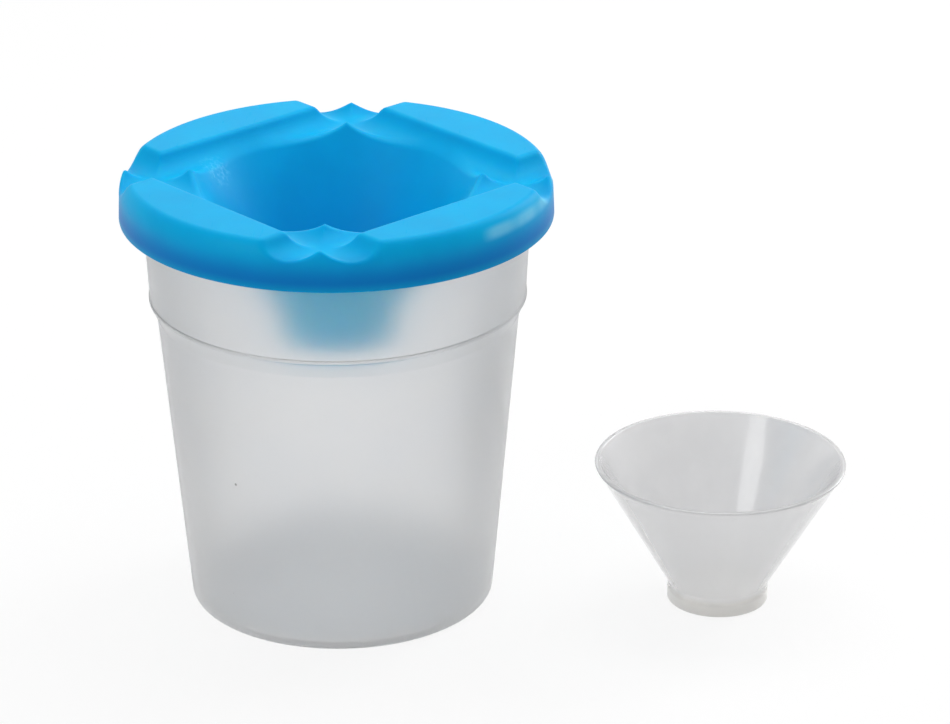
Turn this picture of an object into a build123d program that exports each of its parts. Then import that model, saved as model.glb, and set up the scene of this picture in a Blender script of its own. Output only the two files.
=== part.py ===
from build123d import *
import math
import os

# Paint cup with a brush-rest lid and a loose cone stopper, in millimetres, +Z up.
# The origin is the centre of the cup's underside, and +X points to the stopper.

# Cup: a tapered beaker with a shoulder, a wider upper band and an outward lip.
cup_height = 89.7
base_radius = 32.0
base_edge_radius = 1.2
cup_wall = 1.0
cup_floor_thickness = 1.3
cup_floor_corner_radius = 2.0
body_taper_share = 0.089
shoulder_height = 64.0
shoulder_rise = 3.7
shoulder_step = 1.35
shoulder_radius = 1.3
shoulder_ring_height = 0.7
shoulder_ring_reach = 0.2
band_taper_share = 0.055
lip_height = 1.8
lip_reach = 2.1
lip_edge_radius = 0.45

# Stopper: a cone bowl on a hollow foot that plugs the neck of the funnel.
stopper_half_angle = 30.0
stopper_height = 31.5
stopper_wall = 1.0
stopper_foot_radius = 10.65
stopper_foot_height = 4.3
stopper_floor_thickness = 1.6
stopper_floor_corner_radius = 0.8
stopper_bead_height = 1.1
stopper_bead_reach = 0.2
stopper_edge_radius = 0.3
stopper_x = 80.1
stopper_y = -3.1

# Lid: a skirted disc with four crossing brush grooves round a funnel.
lid_wall = 1.3
skirt_height = 9.9
skirt_flare = 0.2
skirt_edge_radius = 0.4
top_edge_reach = 2.5
top_edge_drop = 5.0
ceiling_corner_radius = 1.3
groove_width_share = 0.2208
groove_depth = 3.6
groove_rim_margin = 0.8
groove_edge_radius = 0.7
groove_count = 4
funnel_mouth_margin = 0.25
funnel_mouth_edge_radius = 0.2
funnel_half_angle = 32.0
funnel_wall = 1.2
neck_height = 5.2
neck_edge_radius = 0.35
plug_depth = 3.4
plug_wall = 1.1
plug_edge_radius = 0.4
bead_height = 1.8
bead_reach = 0.8
bead_crest_share = 0.4

# Clearances between the pieces, how far a cut runs past the face it opens, and the
# largest difference between two radii that count as the same.
seat_clearance = 0.3
plug_clearance = 0.3
lip_clearance = 0.4
foot_clearance = 0.25
overrun = 5.0
match_tolerance = 0.001

# Sizes that follow from the ones above.
stopper_slope = math.tan(math.radians(stopper_half_angle))
stopper_skew = 1 / math.cos(math.radians(stopper_half_angle))
funnel_slope = math.tan(math.radians(funnel_half_angle))
funnel_skew = 1 / math.cos(math.radians(funnel_half_angle))
shoulder_top = shoulder_height + shoulder_rise
body_top_radius = base_radius + body_taper_share * shoulder_height
band_low_radius = body_top_radius + shoulder_step
band_top_radius = band_low_radius + band_taper_share * (cup_height - shoulder_top)
lip_radius = band_top_radius + lip_reach
skirt_inner_radius = lip_radius + lip_clearance + bead_reach
lid_radius = skirt_inner_radius + lid_wall
groove_width = groove_width_share * lid_radius
groove_offset = (lid_radius - groove_rim_margin) / math.sqrt(2) - groove_width / 2
groove_corner_radius = math.sqrt(2) * (groove_offset - groove_width / 2)
funnel_mouth_radius = groove_corner_radius + funnel_mouth_margin
lid_top = cup_height + seat_clearance + lid_wall + groove_depth
skirt_bottom = lid_top - skirt_height
groove_radius = ((groove_width / 2)**2 + groove_depth**2) / (2 * groove_depth)
groove_axis_height = lid_top - groove_depth + groove_radius
neck_radius = stopper_foot_radius + foot_clearance
neck_top = lid_top - (funnel_mouth_radius - neck_radius) / funnel_slope
neck_bottom = neck_top - neck_height
cup_mouth_radius = band_top_radius - cup_wall - band_taper_share * plug_depth
plug_radius = cup_mouth_radius - plug_clearance


def turned(points, roundings=()):
    """A solid of revolution about Z from (radius, height) points, with some corners rounded."""
    section = make_face(Polyline(*points, close=True))
    for corner, radius in roundings:
        section = fillet(section.vertices().sort_by_distance(corner)[0], radius)
    return revolve(Plane.XZ * section, Axis.Z)


def make_cup():
    """The beaker: outer form less inner space, each a revolved profile."""
    foot = (base_radius, 0)
    shoulder_low = (body_top_radius, shoulder_height)
    shoulder_high = (band_low_radius, shoulder_top)
    lip_low = (lip_radius, cup_height - lip_height)
    lip_high = (lip_radius, cup_height)
    outer = turned(
        [
            (0, 0),
            foot,
            shoulder_low,
            shoulder_high,
            (band_top_radius, cup_height - lip_height),
            lip_low,
            lip_high,
            (0, cup_height),
        ],
        [
            (foot, base_edge_radius),
            (shoulder_low, shoulder_radius),
            (shoulder_high, shoulder_radius),
            (lip_low, lip_edge_radius),
            (lip_high, lip_edge_radius),
        ],
    )
    floor_radius = base_radius + body_taper_share * cup_floor_thickness - cup_wall
    floor_corner = (floor_radius, cup_floor_thickness)
    inner_low = (body_top_radius - cup_wall, shoulder_height)
    inner_high = (band_low_radius - cup_wall, shoulder_top)
    inner = turned(
        [
            (0, cup_floor_thickness),
            floor_corner,
            inner_low,
            inner_high,
            (band_top_radius - cup_wall, cup_height),
            (band_top_radius - cup_wall, cup_height + overrun),
            (0, cup_height + overrun),
        ],
        [
            (floor_corner, cup_floor_corner_radius),
            (inner_low, shoulder_radius),
            (inner_high, shoulder_radius),
        ],
    )
    ring_low = shoulder_top - shoulder_ring_height / 2
    ring_high = shoulder_top + shoulder_ring_height / 2
    ring_radius = band_low_radius + shoulder_ring_reach
    ring_root = band_low_radius - cup_wall / 2
    ring = turned(
        [
            (ring_root, ring_low),
            (ring_radius, ring_low),
            (ring_radius, ring_high),
            (ring_root, ring_high),
        ],
        [
            ((ring_radius, ring_low), shoulder_ring_reach),
            ((ring_radius, ring_high), shoulder_ring_reach),
        ],
    )
    return outer - inner + ring


def groove_bars(radius):
    """Straight round bars along the grooves, one for each side of the square they form."""
    length = 2 * (lid_radius + overrun)
    bar = Pos(0, groove_offset, groove_axis_height) * Rot(0, 90, 0) * Cylinder(radius, length)
    turn = 360 / groove_count
    return [Rot(0, 0, turn / 2 + turn * place) * bar for place in range(groove_count)]


def funnel_form(wall, low, high):
    """The funnel's cone and neck as a solid form, grown outwards by a wall."""
    neck = neck_radius + wall
    bend = neck_top - (wall * funnel_skew - wall) / funnel_slope
    mouth = neck + (high - bend) * funnel_slope
    return turned([(0, low), (neck, low), (neck, bend), (mouth, high), (0, high)])


def inner_space():
    """The hollow under the lid's top, which narrows at the snap bead inside the skirt."""
    ceiling = lid_top - lid_wall
    bead_top = cup_height - lip_height - lip_clearance
    bead_bottom = bead_top - bead_height
    crest = skirt_inner_radius - bead_reach
    crest_half = bead_height * bead_crest_share / 2
    bead_middle = (bead_top + bead_bottom) / 2
    corner = (skirt_inner_radius, ceiling)
    return turned(
        [
            (0, skirt_bottom - overrun),
            (skirt_inner_radius, skirt_bottom - overrun),
            (skirt_inner_radius, bead_bottom),
            (crest, bead_middle - crest_half),
            (crest, bead_middle + crest_half),
            (skirt_inner_radius, bead_top),
            corner,
            (0, ceiling),
        ],
        [(corner, ceiling_corner_radius)],
    )


def make_lid():
    """The lid, one skin of even thickness that follows the grooves and the funnel."""
    hem = (lid_radius, skirt_bottom)
    shoulder = (lid_radius - skirt_flare, lid_top - top_edge_drop)
    crown = (shoulder[0] - top_edge_reach, lid_top)
    outline = Polyline(crown, (0, lid_top), (0, skirt_bottom), hem, shoulder)
    rim = EllipticalCenterArc((crown[0], shoulder[1]), top_edge_reach, top_edge_drop)
    section = make_face([*outline.edges(), rim])
    section = fillet(section.vertices().sort_by_distance(hem)[0], skirt_edge_radius)
    blank = revolve(Plane.XZ * section, Axis.Z)
    funnel = funnel_form(funnel_wall, neck_bottom, lid_top)
    funnel = fillet(funnel.edges().group_by(Axis.Z)[0], neck_edge_radius)
    hollow = inner_space()
    for bar in groove_bars(groove_radius + lid_wall):
        hollow -= bar
    hollow -= funnel
    plug_low = cup_height - plug_depth
    plug = turned(
        [
            (plug_radius - plug_wall, plug_low),
            (plug_radius, plug_low),
            (plug_radius, lid_top - lid_wall / 2),
            (plug_radius - plug_wall, lid_top - lid_wall / 2),
        ],
        [((plug_radius, plug_low), plug_edge_radius)],
    )
    lid = blank - hollow + plug + funnel
    for bar in groove_bars(groove_radius):
        lid -= bar
    lid -= funnel_form(0, neck_bottom - overrun, lid_top + overrun)
    return soften_grooves(lid.solid())


def barrel_radius(face):
    """The radius of a round face: how far a point of it lies from its axis."""
    axis = face.axis_of_rotation
    return (face.position_at(0.5, 0.5) - axis.position).cross(axis.direction).length


def groove_borders(lid):
    """The edges round the groove faces, as two lists: those on the funnel's cone and the others."""
    channels = [
        face
        for face in lid.faces().filter_by(GeomType.CYLINDER)
        if abs(barrel_radius(face) - groove_radius) < match_tolerance
    ]
    edges = [edge for channel in channels for edge in channel.edges()]
    borders = [edge for edge in edges if sum(edge.is_same(other) for other in edges) == 1]
    cone_edges = [edge for cone in lid.faces().filter_by(GeomType.CONE) for edge in cone.edges()]
    mouth = [edge for edge in borders if any(edge.is_same(other) for other in cone_edges)]
    outer = [edge for edge in borders if not any(edge.is_same(other) for other in mouth)]
    return mouth, outer


def soften_grooves(lid):
    """Round the grooves' edges to the top, the rim and the funnel, but not the ridges between them."""
    lid = fillet(groove_borders(lid)[1], groove_edge_radius)
    return fillet(groove_borders(lid)[0], funnel_mouth_edge_radius)


def make_stopper():
    """The cone stopper, standing on its foot beside the cup."""
    cone_height = stopper_height - stopper_foot_height
    rim_radius = stopper_foot_radius + cone_height * stopper_slope
    bead_radius = rim_radius + stopper_bead_reach
    bead_low = stopper_height - stopper_bead_height
    bead_root = rim_radius - stopper_bead_height * stopper_slope
    rim_outer = (bead_radius, stopper_height)
    foot_outer = (stopper_foot_radius, 0)
    outer = turned(
        [
            (0, 0),
            foot_outer,
            (stopper_foot_radius, stopper_foot_height),
            (bead_root, bead_low),
            (bead_root + stopper_bead_reach, bead_low),
            rim_outer,
            (0, stopper_height),
        ],
        [(foot_outer, stopper_edge_radius), (rim_outer, stopper_edge_radius)],
    )
    well_radius = stopper_foot_radius - stopper_wall
    well_top = stopper_foot_height + stopper_wall * (stopper_skew - 1) / stopper_slope
    floor_corner = (well_radius, stopper_floor_thickness)
    bowl_height = stopper_height + overrun - well_top
    bowl = turned(
        [
            (0, stopper_floor_thickness),
            floor_corner,
            (well_radius, well_top),
            (well_radius + bowl_height * stopper_slope, well_top + bowl_height),
            (0, well_top + bowl_height),
        ],
        [(floor_corner, stopper_floor_corner_radius)],
    )
    return Pos(stopper_x, stopper_y, 0) * (outer - bowl)


parts = {"cup": make_cup(), "lid": make_lid(), "stopper": make_stopper()}
os.makedirs("parts", exist_ok=True)
for name, part in parts.items():
    export_step(part, f"parts/{name}.step")
    print(name, "solids", len(part.solids()), "volume", round(part.volume))
print("cup mouth radius", round(cup_mouth_radius, 2), "lid radius", round(lid_radius, 2))
print("lid top", round(lid_top, 2), "neck from", round(neck_bottom, 2), "to", round(neck_top, 2))
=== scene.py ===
# %% [markdown]
# # A paint cup with a blue lid and a cone stopper
# The real object is three mouldings of polypropylene. A milky cup holds the rinsing water. A blue lid
# pushes over its lip, with a funnel in the middle and four grooves that hold brushes laid across it.
# A clear cone stopper plugs the funnel, and here it stands beside the cup.
# The packed CAD model is loaded first, so that every piece made below has a place and a size to keep to.
# It could also be drawn again from nothing, but then the two would slowly drift apart.

# %% Load the CAD frame
import math

import bmesh
import bpy
import numpy as np
from mathutils import Matrix, Vector


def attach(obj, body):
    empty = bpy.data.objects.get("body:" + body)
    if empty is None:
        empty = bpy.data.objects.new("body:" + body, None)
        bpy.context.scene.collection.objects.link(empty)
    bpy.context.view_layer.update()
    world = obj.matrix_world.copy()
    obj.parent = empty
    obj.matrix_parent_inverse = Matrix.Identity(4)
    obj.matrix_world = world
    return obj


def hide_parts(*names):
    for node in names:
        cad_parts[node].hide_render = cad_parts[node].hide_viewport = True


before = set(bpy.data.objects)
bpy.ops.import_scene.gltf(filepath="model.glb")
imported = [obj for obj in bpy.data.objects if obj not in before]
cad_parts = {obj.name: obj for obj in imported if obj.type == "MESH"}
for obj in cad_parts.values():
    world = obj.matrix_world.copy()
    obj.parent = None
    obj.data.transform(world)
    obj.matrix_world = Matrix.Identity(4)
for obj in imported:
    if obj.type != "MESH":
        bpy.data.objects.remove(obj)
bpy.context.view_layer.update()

# %% [markdown]
# ## Millimetres
# Blender works in metres, but a moulder thinks in millimetres, so the sizes of the pieces are kept in
# millimetres, the same as in the CAD model. The scene's unit scale could be changed instead, but the CAD
# model, the lamps and the camera are in metres, so a size is turned into metres only where it is used.

# %% One millimetre in metres
MM = 0.001
print("1 mm is", MM, "m")

# %% [markdown]
# ## Rounded sections
# All three mouldings are mostly round, so each starts as a half section: corners that have a radius, a height
# and a rounding. Moulded plastic has no sharp corner, because a sharp corner in the steel is hard to cut and
# the plastic would crack there. A Bevel modifier on the finished mesh could round the corners, but an arc in
# the section gives even rows of faces round the piece.

# %% Rounding one corner
most_of_a_side = 0.49


def arc_at(before, corner, after, radius, steps):
    """Points of an arc that rounds one corner and takes less than half of the sides beside it."""
    corner, before, after = (np.array(point, float) for point in (corner, before, after))
    to_before, to_after = before - corner, after - corner
    room = most_of_a_side * min(np.linalg.norm(to_before), np.linalg.norm(to_after))
    to_before /= np.linalg.norm(to_before)
    to_after /= np.linalg.norm(to_after)
    half = math.acos(np.clip(to_before @ to_after, -1, 1)) / 2
    cut = min(radius / math.tan(half), room)
    radius = cut * math.tan(half)
    middle = (to_before + to_after) / np.linalg.norm(to_before + to_after)
    centre = corner + middle * radius / math.sin(half)
    start, end = corner + to_before * cut - centre, corner + to_after * cut - centre
    sweep = math.pi - 2 * half
    share = np.linspace(0, 1, steps + 1)[:, None]
    arc = (np.sin((1 - share) * sweep) * start + np.sin(share * sweep) * end) / math.sin(sweep)
    return [tuple(centre + point) for point in arc]


print("an arc of", len(arc_at((0, 0), (10, 0), (10, 10), 1, 5)), "points")

# %% [markdown]
# ## Whole sections
# A long straight run also needs points along it, because long thin faces shade badly and a lid that is to be
# pressed into grooves needs vertices to press. Loop cuts would add them to the finished mesh, but here the
# longest run is one number of the section.

# %% A section with rounded corners
def section(corners, longest, steps):
    """A section from (radius, height, rounding) corners, with no run longer than a given length."""
    points = []
    for place, (radius, height, rounding) in enumerate(corners):
        if rounding:
            before, after = corners[place - 1][:2], corners[place + 1][:2]
            points += arc_at(before, (radius, height), after, rounding, steps)
        else:
            points.append((radius, height))
    filled = [points[0]]
    for point in points[1:]:
        parts = max(1, math.ceil(math.dist(filled[-1], point) / longest))
        start = np.array(filled[-1])
        filled += [tuple(start + (np.array(point) - start) * part / parts) for part in range(1, parts + 1)]
    return np.array(filled)


print("a section of", len(section([(0, 0, 0), (10, 0, 1), (10, 10, 0)], 3, 5)), "points")

# %% [markdown]
# ## Turning a section
# A pot is a section turned about its axis, as on a lathe. The Screw modifier or the Spin operator would turn
# it, but writing the rings as an array keeps every vertex in a known row and column, which the lid needs
# later, when its grooves are pressed in.

# %% Rings of vertices and the faces between them
def rings(profile, columns):
    """The vertices of a turned section, as an array of rows, columns and coordinates."""
    turn = np.linspace(0, 2 * math.pi, columns, endpoint=False)
    radius, height = profile[:, :1], profile[:, 1:]
    return np.stack([radius * np.cos(turn), radius * np.sin(turn), height + 0 * turn], axis=-1)


def ring_faces(rows, columns, closed):
    """Faces from each row to the next, and from the last row back to the first if it is closed."""
    index = np.arange(rows * columns).reshape(rows, columns)
    upper = np.roll(index, -1, axis=0) if closed else index[1:]
    lower = index if closed else index[:-1]
    corners = [lower, np.roll(lower, -1, axis=1), np.roll(upper, -1, axis=1), upper]
    return np.stack(corners, axis=-1).reshape(-1, 4)


print("two rings of six make", len(ring_faces(2, 6, closed=False)), "faces")

# %% [markdown]
# ## A skin of plastic
# Each moulding becomes one closed mesh. Where a section ends on the axis, its ring has shrunk to one point,
# so vertices that lie together are welded and faces without area are taken out. Merge by Distance in the
# editor does the same by hand, but here it happens each time the sizes change.

# %% A mesh object from rows of vertices
weld_gap, sliver = 0.004 * MM, 0.002 * MM


def skin(name, grid, material, closed=False, centre=(0, 0)):
    """A smooth mesh object from rows of vertices in millimetres, standing on a given centre."""
    points = grid.reshape(-1, 3) + np.array([*centre, 0])
    mesh = bpy.data.meshes.new(name)
    mesh.from_pydata((points * MM).tolist(), [], ring_faces(*grid.shape[:2], closed).tolist())
    mesh.validate()
    piece = bpy.data.objects.new(name, mesh)
    bpy.context.collection.objects.link(piece)
    cleaner = bmesh.new()
    cleaner.from_mesh(mesh)
    bmesh.ops.remove_doubles(cleaner, verts=cleaner.verts, dist=weld_gap)
    bmesh.ops.dissolve_degenerate(cleaner, edges=cleaner.edges, dist=sliver)
    bmesh.ops.recalc_face_normals(cleaner, faces=cleaner.faces)
    cleaner.to_mesh(mesh)
    cleaner.free()
    mesh.shade_smooth()
    mesh.materials.append(material)
    print(name, len(mesh.vertices), "vertices")
    return piece


print("vertices closer than", weld_gap / MM, "mm are welded")

# %% [markdown]
# ## The cup
# The cup is a tapered beaker about 1 mm thick. It has a shoulder two thirds of the way up, with a thin
# raised ring above it where two parts of the mould meet, then a wider band, and an outward lip that the lid
# grips. A single surface with a Solidify modifier would do for the wall, but the lip and the foot are thicker
# than the rest. So the section goes up the outside and down the inside, and light that passes through the
# wall meets two faces, as in the real one.

# %% Cup section
cup_corners = [
    (0, 0, 0), (32.0, 0, 1.2),                                            # underside and foot
    (37.7, 64.0, 1.3), (39.05, 67.2, 0.4),                                # shoulder
    (39.27, 67.4, 0.12), (39.27, 68.0, 0.12), (39.08, 68.2, 0.2),         # raised ring
    (40.16, 87.9, 0.2),                                                   # band
    (42.36, 87.9, 0.45), (42.36, 89.7, 0.45), (39.26, 89.7, 0.3),         # lip
    (38.05, 67.7, 1.3), (36.7, 64.0, 1.3), (31.12, 1.3, 2.0), (0, 1.3, 0)]    # inside
cup_profile = section(cup_corners, longest=2.5, steps=6)
print("cup section", len(cup_profile), "points")

# %% [markdown]
# ## The stopper
# The stopper is an open, thin-walled cone bowl on a short foot that fits the funnel's neck. Its rim has a
# narrow raised bead, which catches the light as a double line, and the foot is closed by a thicker floor. A
# primitive cone could be scaled to it, but the bead and the well in the foot would still have to be cut.

# %% Stopper section
well_radius, cone_foot, floor_thickness = 9.65, 4.57, 1.6
stopper_corners = [
    (0, 0, 0), (10.65, 0, 0.3), (10.65, 4.3, 0.4),                        # foot
    (25.72, 30.4, 0.15), (25.92, 30.4, 0.1), (26.55, 31.5, 0.3), (25.3, 31.5, 0.25),    # cone and bead
    (well_radius, cone_foot, 0.6), (well_radius, floor_thickness, 0.8), (0, floor_thickness, 0)]    # inside
stopper_profile = section(stopper_corners, longest=1.5, steps=5)
stopper_place = (80.1, -3.1)
print("stopper section", len(stopper_profile), "points")

# %% [markdown]
# ## The lid's sizes
# The lid is a flat ring with a skirt outside and a funnel inside. Its skirt leans in a little towards the
# top, so that it slips out of the mould, and turns into the flat ring by a soft rim. Four round bars, laid in
# a square, would leave its grooves if they were pressed in. The sizes could be read from the CAD mesh, but a
# maker works from the drawing.

# %% Sizes of the lid
lid_top, lid_radius, lid_wall = 94.9, 44.86, 1.3
skirt_low, skirt_lean = 85.0, 0.2
rim_reach, rim_drop = 2.5, 5.0
rim_radius = lid_radius - skirt_lean - rim_reach
neck_radius, neck_low, neck_high = 10.9, 58.65, 63.85
cone_slope = math.tan(math.radians(32))
mouth_radius = neck_radius + (lid_top - neck_high) * cone_slope
groove_offset, groove_radius, groove_height = 26.2, 5.2, 96.5
print("funnel mouth radius", round(mouth_radius, 2), "mm")

# %% [markdown]
# ## The lid's forms as distances
# The lid's skin dips into four crossing grooves and a funnel, and all the ridges between them are soft.
# Bevelling such crossings by hand is slow and pinches at the peaks. Here each form is a distance instead:
# how far a point lies outside it, or inside where the number is negative. Two distances join with a rounding
# of any radius, and the skin is wherever the joined distance is zero.

# %% Distances to the blank and the grooves
tiny = 1e-6


def rounded_join(first, second, radius):
    """The distance to the solid that two forms share, with its edge rounded."""
    outside = np.hypot(np.maximum(first + radius, 0), np.maximum(second + radius, 0))
    return np.minimum(-radius, np.maximum(first, second)) + outside


def blank_distance(x, y, z):
    """The blank: a flat top with an elliptical rounding at the rim."""
    across = np.maximum(np.hypot(x, y) - rim_radius, tiny) / rim_reach
    up = np.maximum(z - (lid_top - rim_drop), tiny) / rim_drop
    reach = np.hypot(across, up)
    steepness = np.hypot(across / rim_reach, up / rim_drop) / reach
    return (reach - 1) / steepness


def beside_grooves(x, y):
    """How far a point lies to the side of the middle of each groove, one groove after the other round."""
    slant = math.sqrt(0.5)
    ways = ((1, 1), (-1, 1), (-1, -1), (1, -1))
    return [slant * (along * x + across * y) - groove_offset for along, across in ways]


print("the blank's top lies", round(float(blank_distance(0.0, 0.0, lid_top)), 3), "mm from its skin")

# %% [markdown]
# ## The whole upper skin
# Opposite grooves join first, then the two pairs where they cross, then the blank and last the funnel. Each
# join has its own rounding, as the real lid is softest where brushes and fingers touch it. One rounding for
# all would be simpler, but the low ridges between the grooves are too narrow for the funnel's soft mouth.

# %% Distance to the lid's upper skin
opposite_round, crossing_round, border_round, mouth_round = 0.3, 0.35, 0.75, 1.1


def skin_distance(x, y, z):
    """The blank, less the grooves, less the funnel, with soft edges."""
    depths = [groove_radius - np.hypot(beside, z - groove_height) for beside in beside_grooves(x, y)]
    pairs = [rounded_join(depths[way], depths[way + 2], opposite_round) for way in (0, 1)]
    cut = rounded_join(*pairs, crossing_round)
    body = rounded_join(blank_distance(x, y, z), cut, border_round)
    reach = np.hypot(x, y)
    inside_cone = ((neck_radius + (z - neck_high) * cone_slope) - reach) * math.cos(math.atan(cone_slope))
    funnel = np.where(z < neck_high, neck_radius - reach, inside_cone)
    return rounded_join(body, funnel, mouth_round)


crossing, groove_floor = groove_offset * math.sqrt(2), groove_height - groove_radius
print("rounding deepens a crossing by", round(float(skin_distance(crossing, 0.0, groove_floor)), 3), "mm")

# %% [markdown]
# ## The lid's rows, above
# The rows of the lid's grid start in the neck and go up the funnel, over the flat top and down the rim. They
# lie close together where the grooves will be. Subdividing the whole lid evenly would also give enough
# vertices there, but it would waste most of them in the plain funnel and skirt.

# %% Rows from the neck over the rim
def run(start, end, spacing):
    """Points along a straight run, without its end."""
    parts = max(1, round(math.dist(start, end) / spacing))
    share = np.arange(parts)[:, None] / parts
    return np.array(start) * (1 - share) + np.array(end) * share


seam_height = 59.0
plain_spacing, cone_spacing, flat_spacing, rim_rows = 1.6, 0.46, 0.3, 20
fine_radius = 25.6
fine_height = neck_high + (fine_radius - neck_radius) / cone_slope
neck_corners = [(neck_radius, seam_height, 0), (neck_radius, neck_high, 0.8), (fine_radius, fine_height, 0)]
quarter = np.linspace(0, math.pi / 2, rim_rows)
rim_curve = np.stack([rim_radius + rim_reach * np.sin(quarter),
                      lid_top - rim_drop + rim_drop * np.cos(quarter)], axis=-1)
upper_run = np.concatenate([
    section(neck_corners, plain_spacing, 5)[:-1],
    run((fine_radius, fine_height), (mouth_radius, lid_top), cone_spacing),
    run((mouth_radius, lid_top), (rim_radius, lid_top), flat_spacing),
    rim_curve])
print("lid rows above", len(upper_run))

# %% [markdown]
# ## The lid's rows, underneath
# From the rim the rows go on down the skirt, round its hem and back underneath, past the snap bead that
# grips the cup's lip and the ring that seats inside the cup's mouth, to the outside of the funnel and its
# neck, where the section closes. The photograph shows little of this, but the lid lifts in the poses. A
# Solidify modifier would give the skin an even underside, but not the bead and the ring.

# %% Rows from the skirt back to the neck
skirt_inside, bead_radius = 43.56, 42.76
ring_outside, ring_inside, ring_low = 38.77, 37.67, 86.3
roof, funnel_outside = 93.6, 12.1
under_corners = [
    (lid_radius - skirt_lean, lid_top - rim_drop, 0), (lid_radius, skirt_low, 0.4),           # skirt
    (skirt_inside, skirt_low, 0.2), (skirt_inside, 85.7, 0.2),                                # hem
    (bead_radius, 86.24, 0.2), (bead_radius, 86.96, 0.2), (skirt_inside, 87.5, 0.2),          # snap bead
    (skirt_inside, roof, 1.3), (ring_outside, roof, 0.2),                                     # over the lip
    (ring_outside, ring_low, 0.4), (ring_inside, ring_low, 0.3), (ring_inside, roof, 0.2),    # seating ring
    (30.9, roof, 0.3), (funnel_outside, 63.5, 0.3), (funnel_outside, neck_low, 0.35),         # funnel
    (neck_radius, neck_low, 0.3), (neck_radius, seam_height, 0)]                              # end of the neck
under_run = section(under_corners, plain_spacing, 3)[1:-1]
print("lid rows underneath", len(under_run))

# %% [markdown]
# ## Pressing the grooves in
# Every vertex over a groove sinks onto it, and the vertices underneath sink onto the same groove grown by
# the wall, which keeps the skin even. A Boolean modifier with four bars would cut the grooves too, but it
# leaves long thin faces and sharp borders.

# %% Sinking vertices onto the bars
def sink(grid, radius):
    """Press the vertices down onto the grooves cut by bars of a given radius."""
    floor = grid[..., 2].copy()
    for beside in beside_grooves(grid[..., 0], grid[..., 1]):
        bar = groove_height - np.sqrt(np.maximum(radius**2 - beside**2, 0))
        floor = np.where(np.abs(beside) < radius, np.minimum(floor, bar), floor)
    print(int((floor < grid[..., 2]).sum()), "vertices pressed down")
    grid[..., 2] = floor


lid_columns = 600
upper, under = rings(upper_run, lid_columns), rings(under_run, lid_columns)
sink(upper, groove_radius)
sink(under, groove_radius + lid_wall)

# %% [markdown]
# ## Softening the ridges
# The sunk vertices still have sharp ridges between them, so they slide along the steepest way onto the
# rounded skin. The steepest way is measured: the distance a hundredth of a millimetre to either side tells
# how fast it grows. It could be worked out as a formula too, but that would have to be done again whenever a
# form is added.

# %% Sliding vertices onto the skin
slope_step, least_slope, longest_slide = 0.01, 0.2, 0.5


def steepest(points):
    """The distance at each point, and the direction and rate in which it grows."""
    x, y, z = np.moveaxis(points, -1, 0)
    slopes = [skin_distance(x + slope_step * a, y + slope_step * b, z + slope_step * c)
              - skin_distance(x - slope_step * a, y - slope_step * b, z - slope_step * c)
              for a, b, c in ((1, 0, 0), (0, 1, 0), (0, 0, 1))]
    return skin_distance(x, y, z), np.stack(slopes, axis=-1) / (2 * slope_step)


def settle(points, rounds):
    """Move points onto the skin, and give the way out of it at each."""
    for _ in range(rounds):
        distance, slope = steepest(points)
        size = np.maximum((slope**2).sum(-1), least_slope)
        points = points - (np.clip(distance, -longest_slide, longest_slide) / size)[..., None] * slope
    return points, slope / np.linalg.norm(slope, axis=-1, keepdims=True)


first_fine = int(np.argmax(upper_run[:, 0] >= fine_radius - tiny))
fine, outward = settle(upper[first_fine:-1], 3)
print("farthest from the skin", round(float(np.abs(steepest(fine)[0]).max()), 4), "mm")

# %% [markdown]
# ## Spreading the vertices
# A steep groove wall now has too few vertices and a flat too many. Each is drawn towards the middle of its
# neighbours and slides back onto the skin, a few times over. A Smooth modifier would spread them as well, but
# it would also melt the ridges, because it doesn't know where the skin is.

# %% Lid grid
spread_rounds, spread_pull = 14, 0.6


def spread(points, outward):
    """Draw points towards the middle of their neighbours, along the skin, except in the first and last row."""
    around = (np.roll(points, 1, axis=1) + np.roll(points, -1, axis=1)) / 4
    around[1:-1] += (points[:-2] + points[2:]) / 4
    shift = np.zeros_like(points)
    shift[1:-1] = around[1:-1] - points[1:-1]
    shift -= (shift * outward).sum(-1, keepdims=True) * outward
    return points + spread_pull * shift


for _ in range(spread_rounds):
    fine, outward = settle(spread(fine, outward), 1)
upper[first_fine:-1] = fine
lid_grid = np.concatenate([upper, under])
print("lid grid", lid_grid.shape, "farthest from the skin", round(float(np.abs(steepest(fine)[0]).max()), 4), "mm")

# %% [markdown]
# ## Shader maths
# A finish is a small tree of nodes, usually drawn by hand in the Shader Editor. In a script, adding and
# linking Math nodes one by one is hard to read. So one class wraps a socket and lets numbers be written as
# sums, and each sum adds its Math node.

# %% A socket that can be added and multiplied
class Wire:
    """One output of a node, with the arithmetic of numbers."""

    def __init__(self, shading, socket):
        self.shading, self.socket = shading, socket

    def maths(self, operation, *values):
        """A Math node on some values or links."""
        return self.shading.add("ShaderNodeMath", {"operation": operation}, dict(enumerate(values)))

    def __add__(self, other):
        return self.maths("ADD", self, other)

    def __sub__(self, other):
        return self.maths("SUBTRACT", self, other)

    def __rsub__(self, other):
        return self.maths("SUBTRACT", other, self)

    def __mul__(self, other):
        return self.maths("MULTIPLY", self, other)

    __radd__ = __add__
    __rmul__ = __mul__

    def root(self):
        """The square root."""
        return self.maths("SQRT", self)

    def least(self, other):
        """The smaller of two values."""
        return self.maths("MINIMUM", self, other)

    def ramp(self, low, high):
        """0 below one value, 1 above the other, and smooth between them."""
        sockets = {"Value": self, "From Min": low, "From Max": high}
        return self.shading.add("ShaderNodeMapRange", {"interpolation_type": "SMOOTHSTEP"}, sockets)


print("a Wire knows", [name for name in vars(Wire) if not name.startswith("_")])

# %% [markdown]
# ## Other nodes
# Any other node is added by one method, from its type, its settings and the values or links of its sockets.
# The world has nodes as well as the materials, so this class holds what they share. A separate function for
# each type of node would hide which sockets are set.

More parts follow.
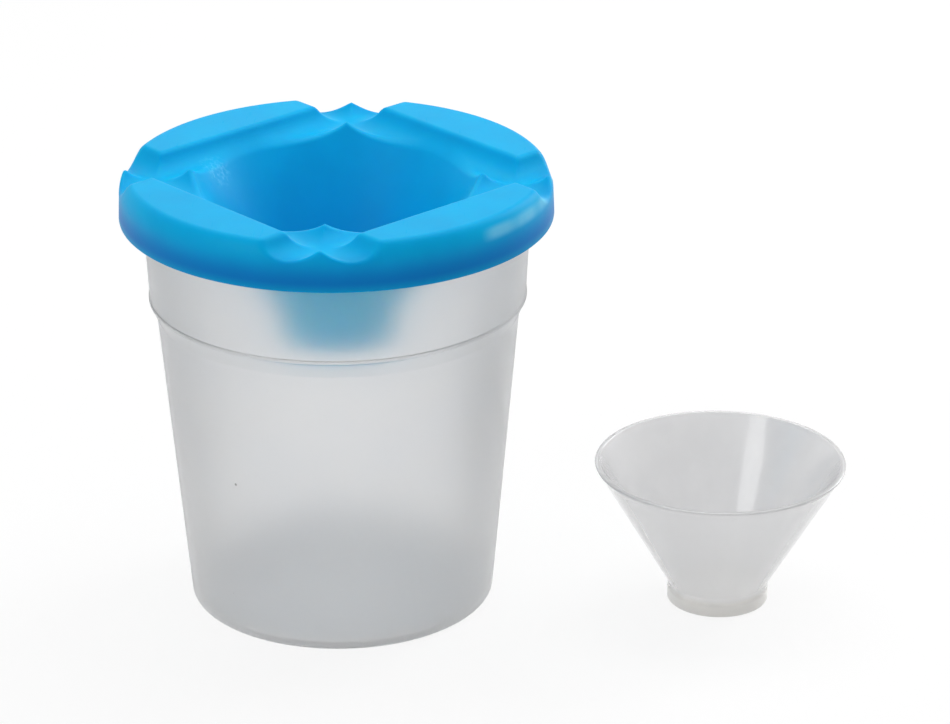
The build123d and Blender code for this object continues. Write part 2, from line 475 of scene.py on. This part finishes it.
# %% The nodes of one tree
class Shading:
    """The nodes of one tree, of a material or of the world."""

    def __init__(self, tree):
        self.tree = tree
        tree.nodes.clear()

    def add(self, kind, settings=None, sockets=None, output=0):
        """Add a node, first its settings, then the values or links of its sockets, and give one output."""
        node = self.tree.nodes.new(kind)
        for name, value in (settings or {}).items():
            setattr(node, name, value)
        for name, value in (sockets or {}).items():
            if isinstance(value, Wire):
                self.tree.links.new(value.socket, node.inputs[name])
            else:
                node.inputs[name].default_value = value
        return Wire(self, node.outputs[output]) if len(node.outputs) else None

    def between(self, share, first, second):
        """One shader fading into another."""
        return self.add("ShaderNodeMixShader", sockets={0: share, 1: first, 2: second})

    def seen(self):
        """1 for what the camera sees, also mirrored or through clear plastic, and 0 for what only lights."""
        sight, mirror, through = (self.add("ShaderNodeLightPath", output=f"Is {ray} Ray")
                                  for ray in ("Camera", "Glossy", "Transmission"))
        return (sight + mirror + through).least(1)


print("a Shading knows", [name for name in vars(Shading) if not name.startswith("_")])

# %% [markdown]
# ## Places on a piece
# A finish starts with the place of the point in millimetres, so that the grain of the plastic has its real
# size wherever it appears. From the place come noise and masks, which are numbers between 0 and 1. Texture
# coordinates from an unwrapped mesh would do as well, but a turned part seen from all sides would then show
# a seam.

# %% A material that knows places in millimetres
class Places(Shading):
    """The nodes of one material, with the place on the piece and numbers that follow it."""

    def __init__(self, name):
        self.material = bpy.data.materials.new(name)
        self.material.use_nodes = True
        super().__init__(self.material.node_tree)
        place = self.add("ShaderNodeTexCoord", output="Object")
        self.place = self.add("ShaderNodeVectorMath", {"operation": "SCALE"}, {0: place, "Scale": 1 / MM})
        parts = self.add("ShaderNodeSeparateXYZ", sockets={0: self.place}).socket.node
        self.x, self.y, self.z = (Wire(self, part) for part in parts.outputs)

    def noise(self, size, detail, stretch=None):
        """Noise between 0 and 1 in patches of a size in millimetres, longer the way a stretch is below 1."""
        place = self.place
        if stretch:
            place = self.add("ShaderNodeVectorMath", {"operation": "MULTIPLY"}, {0: place, 1: stretch})
        return self.add("ShaderNodeTexNoise", sockets={"Vector": place, "Scale": 1 / size, "Detail": detail})

    def from_axis(self, centre=(0, 0)):
        """How far the point lies from an upright axis."""
        x, y = self.x - centre[0], self.y - centre[1]
        return (x * x + y * y).root()

    def near(self, point, radius):
        """1 at a point of the piece, fading to 0 at a given radius."""
        gap = self.add("ShaderNodeVectorMath", {"operation": "DISTANCE"}, {0: self.place, 1: point}, "Value")
        core = 0.3 * radius
        return 1 - gap.ramp(core, radius)

    def marks(self, *places):
        """1 at each of some places, given as a point and a radius."""
        total = self.near(*places[0])
        for place in places[1:]:
            total = total + self.near(*place)
        return total.least(1)


print("Places knows", [name for name in vars(Places) if not name.startswith("_")])

# %% [markdown]
# ## One finish
# Masks are turned into colours, bumps and at last a shader. The Principled shader serves for every moulding
# here. Glass, diffuse and glossy shaders could be mixed by hand instead, but it keeps their sum true to
# real plastic, which never gives back more light than it gets.

# %% Colours, bumps and shaders
class Finish(Places):
    """A whole material: places and masks, then colours, bumps and shaders."""

    def blend(self, share, first, second):
        """A colour between two colours, which are sockets 6 and 7 of a Mix node, and come out of its third."""
        return self.add("ShaderNodeMix", {"data_type": "RGBA"}, {0: share, 6: first, 7: second}, 2)

    def bump(self, height, depth, strength, under=None):
        """A normal from a height between 0 and 1, which is this deep in millimetres, over another normal."""
        sockets = {"Height": height, "Distance": depth * MM, "Strength": strength}
        if under is not None:
            sockets["Normal"] = under
        return self.add("ShaderNodeBump", sockets=sockets)

    def plastic(self, **sockets):
        """A Principled shader, whose sockets are named with their words joined by underscores."""
        named = {name.replace("_", " "): value for name, value in sockets.items()}
        return self.add("ShaderNodeBsdfPrincipled", sockets=named)

    def surface(self, shader):
        """End the finish with a shader."""
        self.add("ShaderNodeOutputMaterial", sockets={"Surface": shader})


print("a Finish knows", [name for name in vars(Finish) if not name.startswith("_")])

# %% [markdown]
# ## The cup's colour
# Natural polypropylene is milky and nearly without colour. It is a little cloudy from place to place and has a few
# dark specks from the mould, and it is painted whiter towards the foot, which is painted light. The specks could
# be modelled as tiny pits, but they are marks in the plastic, so they are spots of colour.

# %% Milky cup: clouds, specks and painted light towards the foot
milky = Finish("milky_polypropylene")
dull_milk, pale_milk, painted_light_milk = (0.885, 0.893, 0.905, 1), (0.92, 0.923, 0.925, 1), (0.955, 0.958, 0.962, 1)
speck_colour = (0.12, 0.11, 0.10, 1)
cloud = milky.noise(14, 3)
specks = milky.marks(((-19.2, -29.4, 36.4), 0.45), ((-20.6, -25.2, 9.6), 0.4),
                     ((-12.6, -29.4, 6.4), 0.4), ((24.5, -26.0, 30.0), 0.3))
milk = milky.blend(cloud.ramp(0.3, 0.75), dull_milk, pale_milk)
# Painted light: the lower cup is painted whiter towards the foot.
milk = milky.blend(0.8 * (1 - milky.z.ramp(8, 48)), milk, painted_light_milk)
milk = milky.blend(specks, milk, speck_colour)
print("cup colour", len(milky.tree.nodes), "nodes")

# %% [markdown]
# ## The cup's wall
# Light goes through the wall but is scattered on the way, so the blue funnel behind it shows as a blur. Glass
# with a rough surface does this. Real milky plastic scatters inside its thickness, but a thin wall with two
# rough faces looks the same and renders far sooner. The foot is thicker and lets less through, so near the
# table the glass fades into plain plastic. A faint upright ripple is left from drawing the cup off its core.

# %% Milky cup: wall and foot
plastic_ior = 1.49
ripple = milky.bump(milky.noise(2, 3, stretch=(1, 1, 0.12)), 0.04, 0.3)
thin_wall = milky.plastic(Base_Color=milk, Roughness=0.285 + 0.06 * cloud, IOR=plastic_ior,
                          Transmission_Weight=0.94, Normal=ripple)
thick_foot = milky.plastic(Base_Color=milk, Roughness=0.4, IOR=plastic_ior, Normal=ripple)
milky.surface(milky.between(0.42 * (1 - milky.z.ramp(1.0, 4.5)), thin_wall, thick_foot))
print("cup finish", len(milky.tree.nodes), "nodes")

# %% [markdown]
# ## The stopper's colour, with painted shade and light
# The stopper is the same plastic, but thinner and from a polished mould, so it is clearer and a little hazy.
# The real stopper is polished inside and more matt outside. Here the two sides differ only in colour: painted
# shade makes the inside greyer, and painted light makes the outside paler. Two materials on two sets of faces
# would show that too, but the distance from the axis already tells the two sides of the wall apart.

# %% Clear stopper: painted shade inside and painted light outside
clear = Finish("clear_polypropylene")
shaded_inside_dull, shaded_inside_pale = (0.77, 0.77, 0.78, 1), (0.81, 0.808, 0.815, 1)
lit_outside_foot, lit_outside_cone = (0.99, 0.98, 0.955, 1), (0.975, 0.975, 0.98, 1)
haze = clear.noise(9, 3)
inner_radius = well_radius + (clear.z - cone_foot) * math.tan(math.radians(30))
outer_side = (clear.from_axis(stopper_place) - inner_radius).ramp(0.35, 0.8)
# Painted shade makes the inside greyer, and painted light makes the outside paler.
painted_shade_inside = clear.blend(haze.ramp(0.3, 0.7), shaded_inside_dull, shaded_inside_pale)
painted_light_outside = clear.blend(clear.z.ramp(2.4, 4.2), lit_outside_foot, lit_outside_cone)
print("stopper colour", len(clear.tree.nodes), "nodes")

# %% [markdown]
# ## The stopper's wall
# The thin wall has slow waves, which break up the reflections of the lamps into streaks down the cone, and a
# smooth skin that shines over the hazy plastic: the coat of the Principled shader. Lower roughness alone
# would shine as well, but then the plastic behind it would look like glass.

# %% Clear stopper: wall and foot
waves = clear.bump(clear.noise(25 / 3, 1, stretch=(1, 1, 0.2)), 0.3, 0.5)
thin_wall = clear.plastic(Base_Color=clear.blend(outer_side, painted_shade_inside, painted_light_outside), Roughness=0.14 + 0.10 * haze,
                          IOR=plastic_ior, Transmission_Weight=0.62, Coat_Weight=0.6, Coat_Roughness=0.04,
                          Normal=waves)
thick_foot = clear.plastic(Base_Color=(0.99, 0.975, 0.945, 1), Roughness=0.3, IOR=plastic_ior, Normal=waves)
clear.surface(clear.between(0.7 * (1 - clear.z.ramp(2.0, 3.6)), thin_wall, thick_foot))
print("stopper finish", len(clear.tree.nodes), "nodes")

# %% [markdown]
# ## The lid's colour, with painted shade and light
# The lid is the same plastic with a strong blue pigment. Its colour is painted deeper where the plastic stands
# upright and down in the funnel, which is painted shade. It is painted a little lighter at the skirt's hem, which
# is painted light. It is painted bright on the outside of the funnel under the lid, which is painted light for the
# light that comes through the thin funnel, as seen through the cup. Lamps alone could make these shades, but only
# from one side, and the lid has to look right from all.

# %% Blue lid: pigment, painted shade and painted light
blue = Finish("blue_polypropylene")
flat_dull, flat_bright = (0.0, 0.385, 0.735, 1), (0.0, 0.425, 0.785, 1)
shaded_upright_blue, shaded_funnel_blue, lit_hem_blue = (0.0, 0.155, 0.50, 1), (0.0, 0.26, 0.60, 1), (0.0, 0.36, 0.60, 1)
glowing_funnel_blue = (0.0, 0.64, 0.92, 1)
mottle, reach = blue.noise(11, 3), blue.from_axis()
upright = (1 - blue.z.ramp(86.5, 93.5)) * reach.ramp(40.0, 43.5)
hem = upright * (1 - blue.z.ramp(85.1, 87.2))
funnel_radius = neck_radius + (blue.z - neck_high) * cone_slope
under_funnel = (reach - funnel_radius).ramp(0.4, 1.0) * (1 - blue.z.ramp(82, 89)) * (1 - reach.ramp(33, 36))
blue_and_painted_light = blue.blend(mottle.ramp(0.25, 0.75), flat_dull, flat_bright)
# Painted shade: the upright skirt is painted deeper blue.
blue_and_painted_light = blue.blend(0.9 * upright, blue_and_painted_light, shaded_upright_blue)
# Painted shade: the funnel is painted deeper blue towards the neck.
blue_and_painted_light = blue.blend(0.4 * (1 - reach.ramp(14, 29)), blue_and_painted_light, shaded_funnel_blue)
# Painted light: the funnel's outside under the lid is painted bright, as if lit through it.
blue_and_painted_light = blue.blend(0.95 * under_funnel, blue_and_painted_light, glowing_funnel_blue)
# Painted light: the skirt's hem is painted lighter.
blue_and_painted_light = blue.blend(0.55 * hem, blue_and_painted_light, lit_hem_blue)
print("lid colour", len(blue.tree.nodes), "nodes")

# %% [markdown]
# ## The lid's painted highlight, pale patch and scratches
# The lid has a pale dotted patch by one ridge, a painted highlight as a pale streak along the front right of its
# rim, and hairline scratches from brushes. An image painted over the unwrapped lid could hold them, but noise
# limited to the right places needs no unwrapping and stays sharp in a close view.

# %% Blue lid: pale patch, painted highlight and scratches
pale_patch_blue, highlight_blue = (0.15, 0.72, 1.0, 1), (0.35, 0.80, 1.0, 1)
# Painted highlight: a pale streak along the front right of the rim's rounding.
painted_highlight_streak = blue.marks(((42.7, -10.6, 91.6), 6.5), ((39.5, -19.3, 91.6), 6.5), ((34.7, -27.1, 91.6), 6.0))
painted_highlight_streak = painted_highlight_streak * blue.z.ramp(90.3, 92.0) * (1 - blue.z.ramp(92.6, 93.9)) * (0.6 + 0.6 * blue.noise(4, 2))
# A pale dotted patch by one ridge at the left of the funnel.
pale_patch = blue.near((-25.6, 9.8, 90.2), 5.0) * blue.noise(0.9, 3).ramp(0.42, 0.72)
lid_colour_with_highlight = blue.blend(0.42 * painted_highlight_streak, blue_and_painted_light, highlight_blue)
lid_colour_with_highlight = blue.blend(0.45 * pale_patch, lid_colour_with_highlight, pale_patch_blue)
scratches = blue.noise(0.625, 2, stretch=(1.3, 0.09, 1.3)).ramp(0.66, 0.74)
print("lid colour and wear", len(blue.tree.nodes), "nodes")

# %% [markdown]
# ## The lid's surface
# The lid has the satin sheen of a lightly blasted mould: fine grain over a slow orange peel. Paint would be
# one flat layer, but pigment lies in the plastic, so a little light spreads through the thin ridges, which
# the shader's subsurface does. Real displacement of the mesh could carry the grain, but it is far too fine.

# %% Blue lid: grain and sheen
grain = blue.bump(scratches, 0.015, 0.5)
grain = blue.bump(blue.noise(2.6, 2), 0.06, 0.4, grain)
grain = blue.bump(blue.noise(0.28, 2), 0.02, 0.35, grain)
blue.surface(blue.plastic(
    Base_Color=lid_colour_with_highlight, Roughness=0.36 + 0.10 * mottle + 0.12 * scratches, Specular_IOR_Level=0.07,
    Subsurface_Weight=0.4, Subsurface_Radius=(0.1, 0.8, 1.5), Subsurface_Scale=MM, Normal=grain))
print("lid finish", len(blue.tree.nodes), "nodes")

# %% [markdown]
# ## The three pieces
# Each moulding is now turned from its section and gets its finish. Each stands for one CAD node: it replaces
# the node in the picture and rides on the node's body, so the lid and the stopper still lift in the poses.
# The CAD nodes could be shaded as they are, but their edges are harder than those of the real mouldings.

# %% Make the pieces
cup_columns, stopper_columns = 224, 192
cup = skin("beaker", rings(cup_profile, cup_columns), milky.material)
lid = skin("grooved_lid", lid_grid, blue.material, closed=True)
stopper = skin("cone_stopper", rings(stopper_profile, stopper_columns), clear.material, centre=stopper_place)
for piece, node, slot in ((cup, "cup", "clear_cup"), (lid, "lid", "blue_lid"),
                          (stopper, "stopper", "clear_stopper")):
    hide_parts(node)
    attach(piece, node)

# %% [markdown]
# ## Floor
# The set is a catalogue picture on white paper. The paper glows white to the camera and to anything seen in
# or through the plastic, and to everything else it is plain, so it keeps the pieces' shadows. More light on
# plain paper would whiten it too, but it would also bleach the lid.

# %% White paper
pure_white, paper_white = (1, 1, 1, 1), (0.93, 0.93, 0.93, 1)
paper = Finish("white_paper")
sheet = paper.add("ShaderNodeBsdfDiffuse", sockets={"Color": paper_white})
glow = paper.add("ShaderNodeEmission", sockets={"Color": pure_white, "Strength": 1.0})
paper.surface(paper.between(0.86 * paper.seen(), sheet, glow))
half_width, below_cup = 6.0, 0.0002
paper_corners = [(x * half_width, y * half_width, 0) for x, y in ((-1, -1), (1, -1), (1, 1), (-1, 1))]
floor_mesh = bpy.data.meshes.new("floor")
floor_mesh.from_pydata(paper_corners, [], [(0, 1, 2, 3)])
floor_mesh.materials.append(paper.material)
floor = bpy.data.objects.new("floor", floor_mesh)
bpy.context.collection.objects.link(floor)
floor.location.z = -below_cup
print("floor", 2 * half_width, "m across")

# %% [markdown]
# ## World
# Beyond the paper the studio is white as well, for the camera and for what shows in or through the plastic,
# and gives a soft even light that reaches into the shadows. A painted backdrop could stand there instead, but
# the world needs no mesh and looks the same from every side.

# %% White studio
world = bpy.data.worlds.new("white_studio")
world.use_nodes = True
bpy.context.scene.world = world
studio = Shading(world.node_tree)
soft_light = studio.add("ShaderNodeBackground", sockets={"Color": pure_white, "Strength": 0.45})
backdrop = studio.add("ShaderNodeBackground", sockets={"Color": pure_white, "Strength": 1.0})
studio.add("ShaderNodeOutputWorld", sockets={"Surface": studio.between(studio.seen(), soft_light, backdrop)})
print("world", len(studio.tree.nodes), "nodes")

# %% [markdown]
# ## Lamps
# A wide soft box hangs over the set, a little behind it, and gives the lid its bright top. A second, weaker
# one stands at the left front, and a third at the right behind, which draws the light streak down the inside
# of the stopper. A row of small hard lamps would give sharper lights than the photograph's.

# %% Soft boxes
def soft_box(name, place, target, size, watts):
    """A rectangular area lamp that points at a target, in metres and watts."""
    lamp = bpy.data.lights.new(name, "AREA")
    lamp.shape = "RECTANGLE"
    lamp.size, lamp.size_y = size
    lamp.energy = watts
    holder = bpy.data.objects.new(name, lamp)
    bpy.context.collection.objects.link(holder)
    holder.location = place
    holder.rotation_euler = (Vector(target) - Vector(place)).to_track_quat("-Z", "Y").to_euler()


soft_box("overhead", place=(0.05, 0.25, 0.85), target=(0.02, 0, 0.06), size=(0.9, 0.6), watts=4.3)
soft_box("left_front", place=(-0.68, -0.7, 0.5), target=(0.02, 0, 0.05), size=(0.55, 0.65), watts=2.1)
soft_box("right_back", place=(0.65, 0.55, 0.45), target=(0.02, 0, 0.06), size=(0.4, 0.5), watts=3.0)

# %% [markdown]
# ## Camera
# The camera's place, tilt and lens were worked out from the ellipses of the rims and bases in the
# photograph. Matching by eye would also do, but ellipses fix the tilt and the distance together. The
# Standard view shows the colours as they are written, without a film look.

# %% Camera
camera_place = (0.06201, -0.76871, 0.37960)
heading, tilt, roll = 2.5, 66.927, -0.117
view = bpy.data.cameras.new("camera")
view.sensor_width, view.lens = 36.0, 151.5
view.clip_start, view.clip_end = 0.01, 50
camera = bpy.data.objects.new("camera", view)
bpy.context.collection.objects.link(camera)
camera.matrix_world = (Matrix.Translation(camera_place) @ Matrix.Rotation(math.radians(heading), 4, "Z")
                       @ Matrix.Rotation(math.radians(tilt), 4, "X") @ Matrix.Rotation(math.radians(roll), 4, "Z"))
bpy.context.scene.camera = camera
bpy.context.scene.view_settings.view_transform = "Standard"
print("camera at", tuple(round(v, 3) for v in camera.location))
